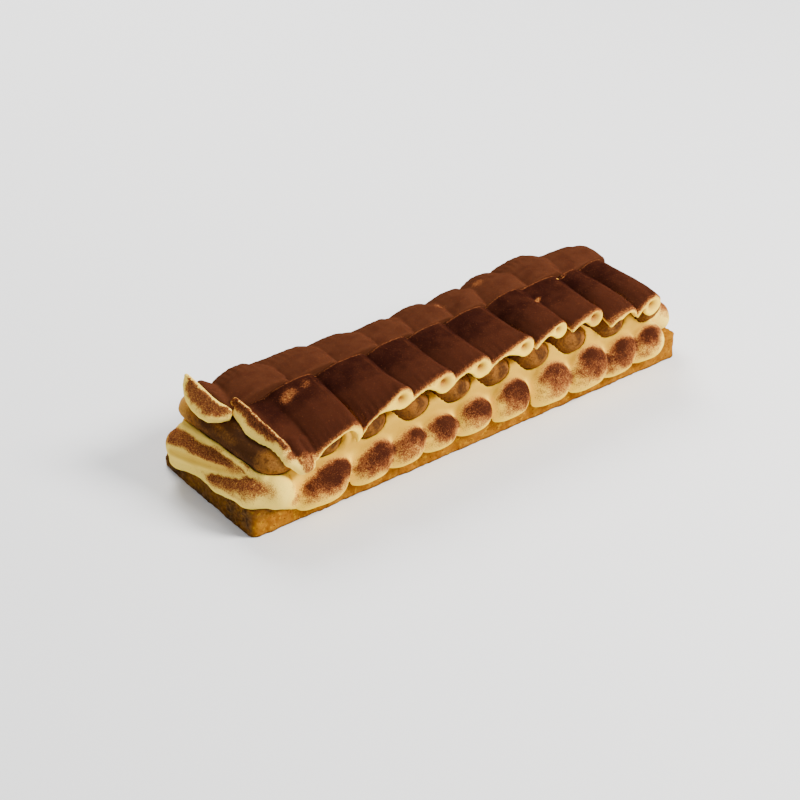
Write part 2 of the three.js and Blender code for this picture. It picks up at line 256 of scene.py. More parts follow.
# The tongue that hangs at the shown corner: three strands side by side, as points with radii
TONGUE = [
    [((-143.5, -43, 50.5), 4), ((-141.5, -49.5, 45.5), 3.8), ((-135, -52.5, 38.6), 4)],
    [((-128.5, -43.5, 48.6), 3.8), ((-127.6, -51, 44.5), 2.8), ((-130, -53, 39), 4)],
    [((-135, -42, 49.5), 5), ((-134, -51, 45), 4), ((-132.5, -52.5, 39.4), 4.6)],
]

# Nicks in the near row: two ends and a radius, which narrows
NICKS = [((70, -20, 64.4), (76.5, -15.5, 63.6), 1.9), ((101, -4.5, 62.6), (110, -2, 62.2), 1.3)]
NICK_NARROWS = 0.6

# Cocoa settles on what is open to the sky. What lies over a point is looked up on a map of heights,
# some steps up in each of a few tilted directions
MAP_CELL = 1.5
MAP_SIZE = (260, 100)
DUST_FROM = (0.2, 0, 0.98)
DUST_TILTS = (0.1, 0.22, 0.36)
DUST_TURNS = 10
DUST_STEPS = (3, 6, 9, 13, 18, 24, 32)

# Cocoa on the bed: where its outer sides and its ends begin, how the direction it falls from leans there,
# how much drifts in under the rows, between which slopes it grows, and how ragged it is
BED_COCOA = {
    "outer": (47, 54), "end": (140, 148), "lean": (0.3, 0.08), "lean_over": (40, 100), "end_lean": 0.25,
    "side_lean": 0.62, "up": 0.85, "drift": 0.97, "slopes": (-0.15, 1), "power": 1.6,
    "ragged": ((6, 0.16, 91), (2.5, 0.1, 92)), "ragged_from": (0.05, 0.3), "end_most": 0.6, "tone": 0.5,
}
# Cocoa on the rows: what their edge loses, where the whole cover over the crease ends, where the barer line
# along the crest lies (a painted highlight), and what each pit holds
ROW_COCOA = {
    "slopes": (-0.3, 0.6), "power": 1, "edge_loss": 0.4, "edge_width": 4, "past_lip": (2, 5),
    "crease": (2, 4), "crest_at": 1.2, "crest": (0.3, 1.5), "pit": 0.36, "pit_from": 0.25,
}
LIP_COCOA = {
    "ragged": ((2.6, 1, 71), (1.1, 0.6, 72)), "ragged_down": 0.1, "bare_over": 3, "face": (0.3, 1.2),
    "rim_middle": 0.6, "rim_down": (0.1, 0.4), "past_ends": 1,
}
# Where the rows' cocoa is darkest, thicker and in painted shade under the fold before: by shares along a
# tile, and by shares of the way from crease to edge. Right at the crease it stays lighter: a painted
# highlight
ROW_TONE = {
    "reach": 50, "before": 13, "starts": (-0.05, 0.1), "fades": (0.5, 1), "fades_by": 0.2,
    "towards_edge": (0.25, 0.85), "off_crease": (0.01, 0.05),
}
# Places that hold extra cocoa: two ends, a half width and an amount
CHANNELS = [
    ((-133, -49, 53), (-132.5, -57, 40), 3.4, 0.52), ((-138.5, -49, 51), (-136.5, -55, 44), 1, 0.6),
    ((-129.5, -50, 51), (-129, -56, 42), 1, 0.66), ((-136, -46, 54), (-133, -52, 48), 3.6, 0.72),
]
# Places with little cocoa: two ends, a radius and the share that is missing
BARE = [
    ((-118, -13, 60), (-113, -10.5, 60), 7, 0.39), ((-103, -11, 61), (-100, -8, 61), 5, 0.24),
    ((70, -20, 62), (75, -16, 62), 3, 0.5), ((101, -4.2, 61), (110, -1.8, 61), 1.8, 0.75),
    ((21, 17, 61), (21, 17, 61), 7, 0.3), ((59, 27, 60), (59, 27, 60), 8, 0.36),
    ((-166, 4, 18), (-161, -30, 29.5), 4.5, 1), ((-150, -44, 35), (-147, -52, 33), 15, 0.95),
    ((-146, -43.5, 52), (-139.5, -54, 42), 6, 1), ((-133, -54, 44), (-133, -57, 38), 8, 0.3),
    ((-163, 33, 34), (-160.5, 5, 37), 5, 1), ((-160.5, 5, 37), (-155, -44, 38.5), 4, 1),
    ((-176.5, 29, 24), (-171, 2, 26), 6, 1), ((-142, -52, 24), (-138, -58, 20), 6, 1),
]
# Shares of a width between which extra cocoa, and a lack of it, fade
EXTRA_FADE = (0.5, 1.8)
BARE_FADE = (0.2, 1)

# Where painted shade darkens the cream: the clefts between the ropes, the ends' crease and the pits
CLEFT_SHADE = {"depth": 0.85, "up": (25, 33), "out": (49, 54), "along": (138, 146)}
CREASE_SHADE = {"depth": 0.6, "off": (0.2, 3)}
PIT_SHADE = {"rim": (0.8, 3.4), "hollow": (0.3, 1.5)}

# Stage, in metres
FLOOR_SIZE = 12
AMBIENT = {"tint": (0.95, 0.97, 1, 1), "strength": 0.6}
LIGHT_AIM = (0, 0, 0.03)
LIGHTS = [
    {"name": "key", "place": (0.9, -1.0, 1.15), "size": 0.7, "power": 74, "tint": (1, 0.97, 0.92)},
    {"name": "back", "place": (0.3, 1.1, 1.1), "size": 0.8, "power": 29, "tint": (1, 0.98, 0.95)},
    {"name": "fill", "place": (-1.2, -0.7, 0.7), "size": 0.9, "power": 2, "tint": (0.97, 0.98, 1)},
]


def mix(a, b, share):
    return a + (b - a) * share


def ease(value, low, high):
    """Rises smoothly from 0 to 1 between two values."""
    t = np.clip((value - low) / (high - low), 0, 1)
    return t * t * (3 - 2 * t)


def close(distance, width, fade):
    """Falls smoothly from 1 to 0 between two shares of a width."""
    return 1 - ease(distance, width * fade[0], width * fade[1])


def smooth_min(a, b, blend):
    share = np.clip(0.5 + 0.5 * (b - a) / blend, 0, 1)
    return mix(b, a, share) - blend * share * (1 - share)


def smooth_max(a, b, blend):
    return -smooth_min(-a, -b, blend)


def tapered(point, start, start_radius, end, end_radius):
    """Distance to a straight stroke whose radius changes along it, in the plane or in space."""
    span = [e - s for s, e in zip(start, end)]
    rel = [p - s for p, s in zip(point, start)]
    length2 = sum(d * d for d in span) + 1e-9
    t = np.clip(sum(a * b for a, b in zip(rel, span)) / length2, 0, 1)
    off2 = sum((a - t * b) ** 2 for a, b in zip(rel, span))
    return np.sqrt(off2) - mix(start_radius, end_radius, t)


def legs(chain):
    """The strokes between a chain's points with radii: one end and its radius, then the other."""
    return [(*a, *b) for a, b in zip(chain, chain[1:])]


def off_line(points, start, end):
    """Distance of points from a straight line between two ends."""
    return tapered(points.T, start, 0, end, 0)


def ball(point, centre, radius):
    return np.sqrt(sum((v - c) ** 2 for v, c in zip(point, centre))) - radius


def past_walls(value, low, high, rounding):
    """How far a value lies past two walls, once they are moved in by a rounding."""
    return np.maximum(np.abs(value - (low + high) / 2) - (high - low) / 2 + rounding, 0)


def lumps(points, size, seed, cells=32):
    """Smooth random values from -1 to 1 that change over the given size."""
    table = np.random.default_rng(seed).uniform(-1, 1, (cells, cells, cells))
    place = np.asarray(points) / size
    base = np.floor(place).astype(int)
    part = place - base
    part = part * part * (3 - 2 * part)
    total = np.zeros(len(place))
    for corner in itertools.product((0, 1), repeat=3):
        weight = np.prod(np.where(corner, part, 1 - part), axis=1)
        i, j, k = ((base + corner) % cells).T
        total += weight * table[i, j, k]
    return total


def all_lumps(points, layers):
    """The sum of layers of random lumps."""
    return sum(height * lumps(points, size, seed) for size, height, seed in layers)


def surface_net(field, axes):
    """Points and outward four-sided faces of the surface where a field on a grid is zero."""
    inside = field < 0
    shape = np.array(field.shape) - 1
    cube = list(itertools.product((0, 1), repeat=3))
    cut = [slice(o, o + n) for o in (0, 1) for n in shape]
    count = sum(inside[cut[3 * i], cut[3 * j + 1], cut[3 * k + 2]].astype(np.int8) for i, j, k in cube)
    active = (count > 0) & (count < len(cube))
    cells = np.argwhere(active)
    number = np.full(shape, -1)
    number[active] = np.arange(len(cells))
    total = np.zeros((len(cells), 3))
    hits = np.zeros(len(cells))
    for axis, unit in enumerate(np.eye(3, dtype=int)):
        for corner in (np.array(c) for c in cube if not c[axis]):
            a = field[tuple((cells + corner).T)]
            b = field[tuple((cells + corner + unit).T)]
            crossed = (a < 0) != (b < 0)
            t = np.where(crossed, a / np.where(crossed, a - b, 1), 0)
            total += crossed[:, None] * (corner + t[:, None] * unit)
            hits += crossed
    place = cells + total / hits[:, None]
    points = np.stack([np.interp(place[:, i], np.arange(len(axes[i])), axes[i]) for i in range(3)], axis=1)
    faces = []
    for axis in range(3):
        p, q = np.eye(3, dtype=int)[[(axis + 1) % 3, (axis + 2) % 3]]
        low = np.take(inside, range(shape[axis]), axis)
        high = np.take(inside, range(1, shape[axis] + 1), axis)
        for leaving, order in ((True, (0, 1, 2, 3)), (False, (3, 2, 1, 0))):
            edges = np.argwhere((low != high) & (low == leaving))
            ring = np.stack([edges - p - q, edges - q, edges, edges - p], axis=1)[:, order]
            faces.append(number[tuple(ring.reshape(-1, 3).T)].reshape(-1, 4))
    return points, np.concatenate(faces)


def normals_of(points, faces):
    a, b, c, d = (points[faces[:, i]] for i in range(4))
    across = np.cross(c - a, d - b)
    total = np.zeros_like(points)
    for i in range(4):
        np.add.at(total, faces[:, i], across)
    return total / np.maximum(np.linalg.norm(total, axis=1, keepdims=True), 1e-12)


def steps(*stops):
    """Grid lines through the given stops: value, spacing, value, spacing and so on."""
    lines = [np.arange(a, b, gap) for a, gap, b in zip(stops[0::2], stops[1::2], stops[2::2])]
    return np.concatenate([*lines, [stops[-1]]])


def open_grid(axes):
    return np.meshgrid(*axes, indexing="ij", sparse=True)


def roughened(points, faces, layers):
    """Moves a surface along its normals by layers of random lumps."""
    normals = normals_of(points, faces)
    for size, height, seed in layers:
        points = points + normals * (height * lumps(points, size, seed))[:, None]
    return points


def box_of(node):
    """The lowest and the highest corner of a solid, in millimetres."""
    return [np.array(corner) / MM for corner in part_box(node)]


# The sponge
def slump(x, y):
    """How far the sponge's top has sunk at its hidden corner."""
    (from_x, from_y), (over_x, over_y) = SLUMP["from"], SLUMP["over"]
    return SLUMP["depth"] * np.maximum((from_x - x) / over_x + (y - from_y) / over_y - 1, 0)


def sponge_mesh():
    low, high = box_of("sponge_base")
    margin, fine = SPONGE_GRID["margin"], SPONGE_GRID["fine"]
    axes = [
        steps(a - margin, fine, a + zone, coarse, b - zone, fine, b + margin)
        for a, b, (zone, coarse) in zip(low, high, SPONGE_GRID["coarser_past"])
    ]
    axes.append(steps(low[2] - margin, fine, high[2] + margin))
    x, y, z = open_grid(axes)
    sides = [past_walls(v, a, b, SPONGE["corner"]) for v, a, b in zip((x, y), low, high)]
    above_or_below = np.maximum(low[2] - z, z - high[2] + slump(x, y))
    field = smooth_max(np.hypot(*sides) - SPONGE["corner"], above_or_below, BLENDS["edge"])
    rng = np.random.default_rng(PORES["seed"])
    for _ in range(PORES["count"]):
        centre, radius = sponge_pore(rng, low, high)
        spans = [(c - radius - PORES["room"], c + radius + PORES["room"]) for c in centre]
        window = tuple(slice(*np.searchsorted(a, span)) for a, span in zip(axes, spans))
        grid = open_grid([a[w] for a, w in zip(axes, window)])
        field[window] = smooth_max(field[window], -ball(grid, centre, radius), BLENDS["pores"])
    points, faces = surface_net(field, axes)
    points = roughened(points, faces, SPONGE["lumps"])
    points[:, 2] = np.maximum(points[:, 2], low[2])
    return points, faces


def sponge_pore(rng, low, high):
    """A pore on one of the four upright faces. The ends, cut through the crumb, have larger ones."""
    at_end = rng.random() < PORES["at_ends"]
    axis = 0 if at_end else 1
    centre = rng.uniform(low + (0, 0, PORES["lowest"]), high)
    centre[axis] = rng.choice([low[axis], high[axis]])
    return centre, rng.uniform(*PORES["end_radius" if at_end else "side_radius"])


def sponge_soak(points):
    """How dark the sponge is: soaked ends, patches near the corner, and a painted shade line along the
    bottom.
    """
    x, _, z = points.T
    length = box_of("sponge_base")[1][0]
    wet_and_shaded = SPONGE_SOAK_AND_SHADE
    patches = lumps(points, wet_and_shaded["patch_size"], wet_and_shaded["patch_seed"])
    ends = ease(np.abs(x), *(length - inset for inset in wet_and_shaded["ends"]))
    ends = ends * (wet_and_shaded["end_soak"] + wet_and_shaded["end_patches"] * patches)
    corner = ease(-x, *wet_and_shaded["corner_along"]) * ease(z, *wet_and_shaded["corner_up"])
    corner = wet_and_shaded["corner_soak"] * corner + wet_and_shaded["corner_patches"] * patches
    # A dark line along the bottom: painted contact shade
    bottom = wet_and_shaded["bottom_soak"] * (1 - ease(z, *wet_and_shaded["bottom"]))
    return np.clip(np.maximum(ends, np.maximum(corner, bottom)), 0, 1)


# The ladyfingers, from the boxes of their solids
def finger_size(node, skew):
    """A finger's middle, half sizes and heights.

    A skewed one moves along the bar by that share of its way across.
    """
    low, high = box_of(node)
    half = (high - low) / 2
    half[0] -= abs(skew) * (half[1] - FINGER_TIP)
    middle = low[2] + FINGER_HEEL
    return {"centre": (low + high) / 2, "half": half, "middle": middle, "top": high[2], "skew": skew}


FINGER_NODES = sorted(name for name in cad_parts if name.startswith("ladyfinger"))
FINGERS = [finger_size(node, 0 if i else FIRST_SKEW) for i, node in enumerate(FINGER_NODES)]


def finger_field(point, finger):
    x, y, z = point
    straight = finger["half"][1] - FINGER_TIP
    rise = np.where(z > finger["middle"], finger["top"] - finger["middle"], FINGER_HEEL)
    y = y - finger["centre"][1]
    across = (x - finger["centre"][0] - finger["skew"] * y) / finger["half"][0]
    along = np.maximum(np.abs(y) - straight, 0) / FINGER_TIP
    up = (z - finger["middle"]) / rise
    return (np.sqrt(across ** 2 + along ** 2 + up ** 2) - 1) * np.minimum(rise, FINGER_TIP)


def clear_of_fingers(field, point):
    """Cuts the room of the ladyfingers out of a form."""
    for finger in FINGERS:
        field = np.maximum(field, GAP - finger_field(point, finger))
    return field


def finger_mesh(finger, seed, around=56, cap=16, middle=44):
    """A ladyfinger as rings along its length, with a wrinkled crust."""
    (centre_x, centre_y, _), (half_x, half_y, _) = finger["centre"], finger["half"]
    straight = half_y - FINGER_TIP
    bend = np.linspace(0, math.pi / 2, cap, endpoint=False)[1:]
    tip_y = straight + FINGER_TIP * np.cos(bend)
    ring_y = np.concatenate([-tip_y, np.linspace(-straight, straight, middle), tip_y[::-1]])
    ring_r = np.concatenate([np.sin(bend), np.ones(middle), np.sin(bend)[::-1]])
    angle = np.linspace(0, 2 * math.pi, around, endpoint=False)
    rise = np.where(np.sin(angle) > 0, finger["top"] - finger["middle"], FINGER_HEEL)
    middle_x = centre_x + finger["skew"] * ring_y
    x = middle_x[:, None] + np.outer(ring_r, np.cos(angle)) * half_x
    y = centre_y + np.repeat(ring_y[:, None], around, axis=1)
    z = finger["middle"] + np.outer(ring_r, np.sin(angle) * rise)
    ends = [(centre_x + finger["skew"] * tip, centre_y + tip, finger["middle"]) for tip in (-half_y, half_y)]
    points = np.concatenate([np.stack([x, y, z], axis=-1).reshape(-1, 3), ends])
    rings = len(ring_y)
    index = np.arange(rings * around).reshape(rings, around)
    turned = np.roll(index, -1, axis=1)
    walls = np.stack([index[:-1], index[1:], turned[1:], turned[:-1]], axis=-1).reshape(-1, 4)
    first = np.stack([np.full(around, rings * around), index[0], turned[0], turned[0]], axis=1)
    last = np.stack([np.full(around, rings * around + 1), turned[-1], index[-1], index[-1]], axis=1)
    faces = np.concatenate([walls, first, last])
    layers = [(size, height, seed + n) for n, (size, height) in enumerate(FINGER_LUMPS)]
    return roughened(points, faces, layers), faces


def flank_soak(points):
    """Streaked soaking and the lip's painted shade on the first ladyfinger. Below zero it is dry and light.
    """
    y = points[:, 1]
    streaks = all_lumps(points * FLANK["stretch"], FLANK["streaks"])
    # Strongest where the lip above lies: soaking and the lip's painted shade
    flank = ease(y, *FLANK["begins"]) * (1 - FLANK["weaker_by"] * ease(y, *FLANK["weaker"]))
    flank = flank * (1 - ease(y, *FLANK["ends"]))
    dry = ease(y, *FLANK["dry_far"]) + FLANK["dry_near_by"] * ease(-y, *FLANK["dry_near"])
    return np.clip(flank * (FLANK["soak"] + streaks), 0, 1) - dry


def tip_soak(points, finger):
    """How soaked one of the other ladyfingers is, with painted shade on its left side and at its top."""
    right = points[:, 0] - finger["centre"][0]
    # Darker on the left side and in a patch at the top under the row: soaking and painted shade
    off_smudge = np.hypot(right - TIPS["smudge_right"], points[:, 2] - TIPS["smudge_height"])
    left = ease(-right, *TIPS["left"])
    smudge = 1 - ease(off_smudge + all_lumps(points, TIPS["ragged"]), *TIPS["smudge"])
    return np.clip(np.maximum(TIPS["left_soak"] * left, TIPS["smudge_soak"] * smudge), 0, 1)


# The cream bed
def rope_field(x, y, z, rope):
    up = z - rope["z"]
    under = np.maximum(-up, 0) / rope["r"]
    lean = rope["lean"] * np.maximum(up, 0) / rope["r"]
    across = (x - rope["x"] - lean + rope["foot"] * under) / rope["spread"]
    along = np.maximum(np.abs(y) - rope["reach"] + rope["r"], 0)
    round_top = np.hypot(across, up / rope["rise"])
    flat_bottom = np.cbrt(np.abs(across) ** 3 + np.abs(rope["flatten"] * up) ** 3)
    return np.hypot(np.where(up > 0, round_top, flat_bottom), along) - rope["r"]


def beyond_corner(x, y, wall):
    """Distance past the wide rounding of the bed's corner between the end towards -x and a wall at +y."""
    r = BED["rounding"]
    return np.hypot(np.maximum(-x - BED["length"] / 2 + r, 0), np.maximum(y - wall + r, 0)) - r


def body_field(x, y, z):
    """The bed's block under the ladyfingers. Two corners, across from each other, are rounded wide."""
    half = BED["length"] / 2
    spans = ((-half, half), (BED["front"], BED["back"]), (BED["bottom"], BED["top"]))
    beyond = [past_walls(v, a, b, BED["bevel"]) for v, (a, b) in zip((x, y, z), spans)]
    field = np.sqrt(sum(b * b for b in beyond)) - BED["bevel"]
    field = np.maximum(field, beyond_corner(x, y, BED["back"]))
    return np.maximum(field, beyond_corner(-x, -y, -BED["front"]))


def end_field(point):
    """The strokes that close the shown end."""
    field = FAR
    for leg in itertools.chain(*map(legs, END_STROKES)):
        field = smooth_min(field, tapered(point, *leg), BLENDS["strokes"])
    return field


def bed_mesh():
    axes = [steps(*stops) for stops in BED_GRID]
    x, y, z = open_grid(axes)
    field = body_field(x, y, z)
    ropes = FAR
    for rope in ROPES:
        ropes = smooth_min(ropes, rope_field(x, y, z, rope), BLENDS["ropes"])
    field = smooth_min(field, ropes, BLENDS["body"])
    for turn in (1, -1):
        turned = (turn * x, turn * y, z)
        field = smooth_min(field, end_field(turned), BLENDS["ends"])
        for leg in legs(CREASE):
            field = smooth_max(field, -tapered(turned, *leg), BLENDS["crease"])
    for crater in CRATERS:
        field = smooth_max(field, -ball((x, y, z), crater, CRATER_RADIUS), BLENDS["craters"])
    length, width, height = box_of("sponge_base")[1]
    above = z - height + slump(x, y)
    field = np.maximum(field, GAP - np.maximum(np.abs(x) - length, np.maximum(np.abs(y) - width, above)))
    points, faces = surface_net(clear_of_fingers(field, (x, y, z)), axes)
    return roughened(points, faces, BED_LUMPS), faces


# The ruffle rows
def circle(x, bottom, top):
    """A circle of a section, as x, z and radius, from its lowest and its highest point."""
    return x, (bottom + top) / 2, (top - bottom) / 2


def hull(x, z, a, b):
    """Distance, in a section, to the outline round two circles."""
    return tapered((x, z), a[:2], a[2], b[:2], b[2])


def fold_circles(row, i, share):
    """The circles of a fold's section from tail to nose, at a share of the way from crease to edge."""
    fold = row["folds"][i]
    before = row["folds"][i - 1] if i else row["start"]
    bend = share ** row["droop"]
    hang = ease(share, *row["hangs"])
    crest = mix(fold.get("peak", CREASE_CREST), fold["crest"], bend)
    valley = mix(fold.get("valley", CREASE_VALLEY if i else START_VALLEY), fold["low"][1], bend)
    valley = valley - row["sag"] * 4 * share * (1 - share)
    nose_x = mix(fold["crease"], fold["edge"], share)
    tail_x = mix(before["crease"] + (TAIL_START if i else 0), fold["low"][0], share)
    circles = []
    for along, inside, edge in zip(ALONG, INSIDE, row["profile"]):
        top = mix(valley, crest, mix(inside, edge, hang))
        bottom = mix(np.minimum(UNDERSIDE, valley - SHEET), top - SHEET, hang)
        circles.append(circle(mix(tail_x, nose_x, along), bottom, top))
    roll_bottom = mix(UNDERSIDE, roll_heights(row, i)[0], hang)
    circles[-1] = circle(nose_x, roll_bottom, top)
    return circles


def roll_heights(row, i):
    """The bottom and the top of a fold's roll at the outer edge."""
    fold = row["folds"][i]
    top = mix(fold["low"][1], fold["crest"], row["profile"][-1])
    return top - fold.get("nose", row["nose"]), top


def hollows(row):
    """For each fold with a pit: the middle of the dish round it, its radius, its mouth and its inner end."""
    for i, fold in enumerate(row["folds"]):
        if fold["pit"]:
            x, y, z = fold["edge"], row["outward"] * fold["reach"], sum(roll_heights(row, i)) / 2
            dish = (x, y + row["outward"] * DISH["beyond"], z)
            mouth = np.array((x, y + row["outward"] * PIT["mouth_out"], z))
            inner = np.array((x - PIT["back"], y - row["outward"] * PIT["deep"], z + PIT["up"]))
            yield dish, fold["pit"], mouth, inner


def lip_ends(lip):
    """The first and the last place across the bar where a lip is given."""
    across = [station[0] for station in lip["stations"]]
    return min(across), max(across)


def lip_at(y, lip):
    """The ridge and the lower edge of a lip, as circles x, z, r, at places across the bar."""
    stations = sorted(lip["stations"])
    across = [s[0] for s in stations]
    return [[np.interp(y, across, [s[part][k] for s in stations]) for k in range(3)] for part in (1, 2)]


def lip_field(x, y, z, lip):
    first, last = lip_ends(lip)
    return smooth_max(hull(x, z, *lip_at(y, lip)), np.maximum(y - last, first - y), BLENDS["lip_ends"])


def start_field(x, y, z, row):
    """What fills a row between its lip and its first fold."""
    out = row["outward"] * y
    tail = fold_circles(row, 0, np.clip(out / row["folds"][0]["reach"], 0, 1))[0]
    ridge = lip_at(y, row["lip"])[0]
    behind_x, behind_top = row["lip"]["behind"]
    top = np.minimum(ridge[1] - LIP_STEP, behind_top)
    behind = circle(np.maximum(ridge[0] + LIP_STEP, behind_x), UNDERSIDE - START_DROP, top)
    ends = np.maximum(out - row["start_reach"], ROW_BEGINS - out)
    return smooth_max(hull(x, z, behind, tail), ends, BLENDS["start_ends"])


def row_field(x, y, z, row):
    out = row["outward"] * y
    field = np.full(np.broadcast_shapes(x.shape, y.shape, z.shape), FAR)
    for i, fold in enumerate(row["folds"]):
        circles = fold_circles(row, i, np.clip(out / fold["reach"], 0, 1))
        span = (circles[0][0].min() - FOLD_ROOM[0], circles[-1][0].max() + FOLD_ROOM[1])
        window = slice(*np.searchsorted(x.ravel(), span))
        section = np.full(field[window].shape, FAR)
        for a, b in [*zip(circles, circles[1:]), (circles[ROLL_FROM], circles[-1])]:
            section = smooth_min(section, hull(x[window], z, a, b), BLENDS["section"])
        ends = np.maximum(out - fold["reach"], ROW_BEGINS - out)
        bounded = smooth_max(section, ends, BLENDS["fold_ends"])
        field[window] = smooth_min(field[window], bounded, BLENDS["folds"])
    field = smooth_min(field, start_field(x, y, z, row), BLENDS["start"])
    return smooth_min(field, lip_field(x, y, z, row["lip"]), BLENDS["lip"])


def hollowed(field, x, y, z, row):
    """Sinks a dish, and a pit in it, into the edge of each fold that has one."""
    for dish, radius, mouth, inner in hollows(row):
        field = smooth_max(field, -ball((x, y, z), dish, DISH["radius"]), BLENDS["dish"])
        pit = tapered((x, y, z), mouth, radius, inner, radius * PIT["narrows"])
        field = smooth_max(field, -pit, BLENDS["pit"])
    return field


def near_details(field, x, y, z):
    """Opens the arches under the near row's folds, hangs the tongue at its corner and cuts the nicks."""
    for a, b, depth in ARCHES:
        arch = smooth_max(hull(x, z, a, b), y - depth, BLENDS["arch_depth"])
        field = smooth_max(field, -arch, BLENDS["arch"])
    for chain in TONGUE:
        for leg in legs(chain):
            field = smooth_min(field, tapered((x, y, z), *leg), BLENDS["tongue"])
    for a, b, radius in NICKS:
        nick = tapered((x, y, z), a, radius, b, radius * NICK_NARROWS)
        field = smooth_max(field, -nick, BLENDS["nick"])
    return field


def row_mesh(row):
    axes = [steps(*stops) for stops in row["grid"]]
    x, y, z = open_grid(axes)
    field = hollowed(row_field(x, y, z, row), x, y, z, row)
    if row is FRONT_ROW:
        field = near_details(field, x, y, z)
    points, faces = surface_net(clear_of_fingers(field, (x, y, z)), axes)
    return roughened(points, faces, row["lumps"]), faces


# Cocoa
def map_cells(x, y):
    places = ((x, MAP_SIZE[0]), (y, MAP_SIZE[1]))
    return tuple(np.clip((v / MAP_CELL + n / 2).astype(int), 0, n - 1) for v, n in places)


def height_map(clouds):
    """The highest point in each cell, seen from above."""
    tops = np.full(MAP_SIZE, -FAR)
    for points in clouds:
        np.maximum.at(tops, map_cells(points[:, 0], points[:, 1]), points[:, 2])
    return tops


def sky(points, tops):
    """The share of nearly upright directions in which nothing lies over each point."""
    ways = [(0, 0)] + [
        (tilt * math.cos(turn), tilt * math.sin(turn))
        for tilt in DUST_TILTS for turn in np.linspace(0, 2 * math.pi, DUST_TURNS, endpoint=False)
    ]
    seen = np.zeros(len(points))
    for dx, dy in ways:
        clear = np.ones(len(points), bool)
        for rise in DUST_STEPS:
            over = tops[map_cells(points[:, 0] + dx * rise, points[:, 1] + dy * rise)]
            clear &= over < points[:, 2] + rise
        seen += clear
    return seen / len(ways)


def cocoa_on(points, faces, seen, falls_from, look):
    """Cocoa by how far a surface faces where it falls from, and by how much of the sky it sees."""
    low, high = look["slopes"]
    facing = sum(n * d for n, d in zip(normals_of(points, faces).T, falls_from))
    cocoa = np.clip((facing - low) / (high - low), 0, 1) ** look["power"] * seen
    for start, end, radius, missing in BARE:
        cocoa *= 1 - missing * close(off_line(points, start, end), radius, BARE_FADE)
    return cocoa


def bed_cocoa(points, faces, tops):
    """Cocoa on what faces up and a little outwards. It drifts in under the rows, and is thin at the ends."""
    x, y, _ = points.T
    look = BED_COCOA
    outer = ease(np.abs(y), *look["outer"])
    end = ease(np.abs(x), *look["end"])
    lean = mix(*look["lean"], ease(x, *look["lean_over"]))
    falls_from = (
        mix(lean, look["end_lean"] * np.sign(x), end),
        look["side_lean"] * np.sign(y) * outer * (1 - end),
        look["up"],
    )
    seen = np.maximum(sky(points, tops), look["drift"] * outer)
    cocoa = cocoa_on(points, faces, seen, falls_from, look)
    cocoa *= np.interp(x, [rope["x"] for rope in ROPES], [rope["dust"] for rope in ROPES])
    cocoa = np.clip(cocoa + all_lumps(points, look["ragged"]) * ease(cocoa, *look["ragged_from"]), 0, 1)
    return np.minimum(cocoa, mix(1, look["end_most"], end))


def bed_shade(points):
    """Painted shade on the cream: most in the clefts under the rows' edge, and in the ends' crease."""
    x, y, z = np.abs(points).T
    clefts = CLEFT_SHADE["depth"] * ease(z, *CLEFT_SHADE["up"])
    clefts = clefts * (1 - ease(y, *CLEFT_SHADE["out"])) * (1 - ease(x, *CLEFT_SHADE["along"]))
    turned = points * np.where(points[:, :1] < 0, 1, (-1, -1, 1))
    off_crease = np.min([tapered(turned.T, *leg) for leg in legs(CREASE)], axis=0)
    return np.maximum(clefts, CREASE_SHADE["depth"] * (1 - ease(off_crease, *CREASE_SHADE["off"])))


def lip_limit(points, lip):
    """The most cocoa that a lip can hold: a bare ragged rim, then a veil that ends above the lower edge."""
    x, y, z = points.T
    look = LIP_COCOA
    ridge, edge = lip_at(y, lip)
    top = ridge[1] + ridge[2]
    ragged = all_lumps(points, look["ragged"])
    down = (top - z) / (top - edge[1])
    veil = lip["veil"] * (1 - ease(down + look["ragged_down"] * ragged, *lip["veiled"]))
    veil *= 1 - ease(y + ragged, lip["bare_from"], lip["bare_from"] + look["bare_over"])
    past = x - ridge[0] + ragged
    face = 1 - ease(past, *look["face"])
    middle = lip["rim"] * look["rim_middle"]
    rim = (1 - ease(np.abs(past - middle), middle, lip["rim"])) * (1 - ease(down, *look["rim_down"]))
    first, last = lip_ends(lip)
    here = (y > first - look["past_ends"]) & (y < last + look["past_ends"])
    return np.where(here, mix(1, veil, face) * (1 - lip["bare"] * rim), 1)


def row_edge(points, row, width):
    """Rises from 0 to 1 over the given width before a row's outer edge."""
    folds = row["folds"]
    reach = np.interp(points[:, 0], [fold["edge"] for fold in folds], [fold["reach"] for fold in folds])
    return ease(row["outward"] * points[:, 1], reach - width, reach)


def row_cocoa(points, faces, tops, row):
    """Cocoa over a row: thinner at its outer edge and lip, whole over the crease, some in each pit."""
    x, y, _ = points.T
    look = ROW_COCOA
    out = row["outward"] * y
    cocoa = cocoa_on(points, faces, sky(points, tops), DUST_FROM, look)
    cocoa *= 1 - look["edge_loss"] * row_edge(points, row, look["edge_width"])
    cocoa = np.minimum(cocoa, lip_limit(points, row["lip"]))
    past_lip = ease(x - lip_at(y, row["lip"])[0][0], *look["past_lip"])
    cocoa = np.maximum(cocoa, (1 - ease(out, *look["crease"])) * past_lip)
    # A barer line along the crest: a painted highlight
    crest = 1 - ease(np.abs(out - look["crest_at"]), *look["crest"])
    cocoa *= 1 - row["crest"] * crest * past_lip
    for start, end, width, extra in CHANNELS:
        cocoa = np.maximum(cocoa, extra * close(off_line(points, start, end), width, EXTRA_FADE))
    for _, radius, mouth, inner in hollows(row):
        off_pit = off_line(points, mix(mouth, inner, look["pit_from"]), inner)
        cocoa = np.maximum(cocoa, look["pit"] * close(off_pit, radius, EXTRA_FADE))
    return cocoa


